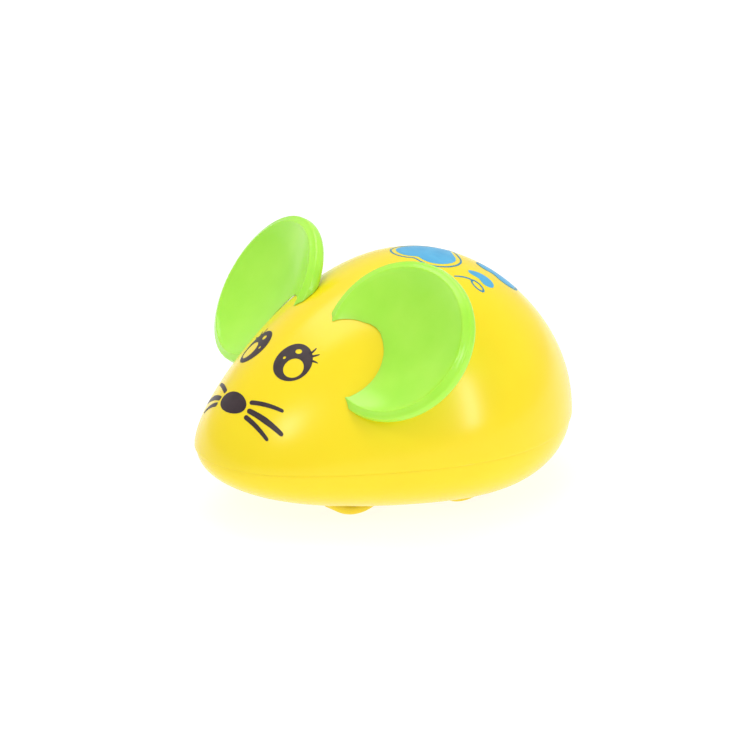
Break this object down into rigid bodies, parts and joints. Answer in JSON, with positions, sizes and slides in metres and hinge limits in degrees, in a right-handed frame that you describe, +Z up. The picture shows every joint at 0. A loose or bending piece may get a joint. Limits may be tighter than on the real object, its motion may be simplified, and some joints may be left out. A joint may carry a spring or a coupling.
{
  "type": "clockwork mouse",
  "caption": "Wind-up toy mouse with a moulded egg-shaped body, dished ears, a side key and a spring movement that drives its rear wheels.",
  "frame": {"origin": "on the ground below the middle of the mouse", "axes": "+Z up, the nose points to -Y, the mouse's left side is +X"},
  "size_m": [0.0834, 0.092, 0.0567],
  "materials": {
    "yellow_plastic": "glossy moulded yellow plastic",
    "green_plastic": "glossy moulded lime green plastic",
    "wheel_plastic": "moulded yellow plastic",
    "key_plastic": "moulded lime green plastic",
    "brass": "stamped brass",
    "gear_plastic": "moulded white acetal",
    "spring_steel": "blued spring steel",
    "steel": "bright steel"
  },
  "bodies": {
    "housing": {"upper_shell": "yellow_plastic", "base_tray": "yellow_plastic", "shell_screws": "steel", "ear_left": "green_plastic", "ear_right": "green_plastic", "movement_plate_left": "steel", "movement_plate_right": "steel", "pillar_front": "steel", "pillar_rear": "steel", "pillar_low": "steel", "movement_screws": "steel", "mainspring": "spring_steel"},
    "key": {"winding_key": "key_plastic", "winding_arbor": "steel", "arbor_washer": "steel", "ratchet_wheel": "brass"},
    "great_wheel": {"great_gear": "brass", "click_pawl": "steel", "click_rivet": "steel", "click_spring": "spring_steel"},
    "second_wheel": {"second_arbor": "steel", "second_pinion": "gear_plastic", "second_gear": "brass"},
    "drive": {"drive_axle": "steel", "drive_pinion": "gear_plastic", "governor_gear": "gear_plastic", "drive_wheel_left": "wheel_plastic", "drive_wheel_right": "wheel_plastic"},
    "escape": {"escape_arbor": "steel", "escape_pinion": "gear_plastic", "escape_wheel": "brass"},
    "pallet": {"pallet_staff": "steel", "pallet_lever": "gear_plastic"},
    "front": {"front_axle": "steel", "front_wheel_left": "wheel_plastic", "front_wheel_right": "wheel_plastic"}
  },
  "joints": [
    {"name": "drive_axle_spin", "type": "hinge", "parent": "housing", "child": "drive", "pos_m": [0, 0.0076, 0.011], "axis": [1, 0, 0], "continuous": true},
    {"name": "second_wheel_spin", "type": "hinge", "parent": "housing", "child": "second_wheel", "pos_m": [0, 0.01807, 0.01366], "axis": [1, 0, 0], "continuous": true},
    {"name": "great_wheel_spin", "type": "hinge", "parent": "housing", "child": "great_wheel", "pos_m": [0, 0.016, 0.027], "axis": [1, 0, 0], "continuous": true},
    {"name": "escape_spin", "type": "hinge", "parent": "housing", "child": "escape", "pos_m": [0, -0.00019, 0.01323], "axis": [1, 0, 0], "continuous": true},
    {"name": "front_axle_spin", "type": "hinge", "parent": "housing", "child": "front", "pos_m": [0, -0.0158, 0.011], "axis": [1, 0, 0], "continuous": true},
    {"name": "pallet_rock", "type": "hinge", "parent": "housing", "child": "pallet", "pos_m": [0, 0.00061, 0.02083], "axis": [1, 0, 0], "range_deg": [-4, 4]},
    {"name": "key_wind", "type": "hinge", "parent": "housing", "child": "key", "pos_m": [0, 0.016, 0.027], "axis": [1, 0, 0], "range_deg": [-1440, 0]}
  ],
  "couplings": [
    {"joint": "second_wheel_spin", "follows": "drive_axle_spin", "ratio": -0.33333},
    {"joint": "great_wheel_spin", "follows": "drive_axle_spin", "ratio": 0.083333},
    {"joint": "escape_spin", "follows": "drive_axle_spin", "ratio": -2}
  ]
}
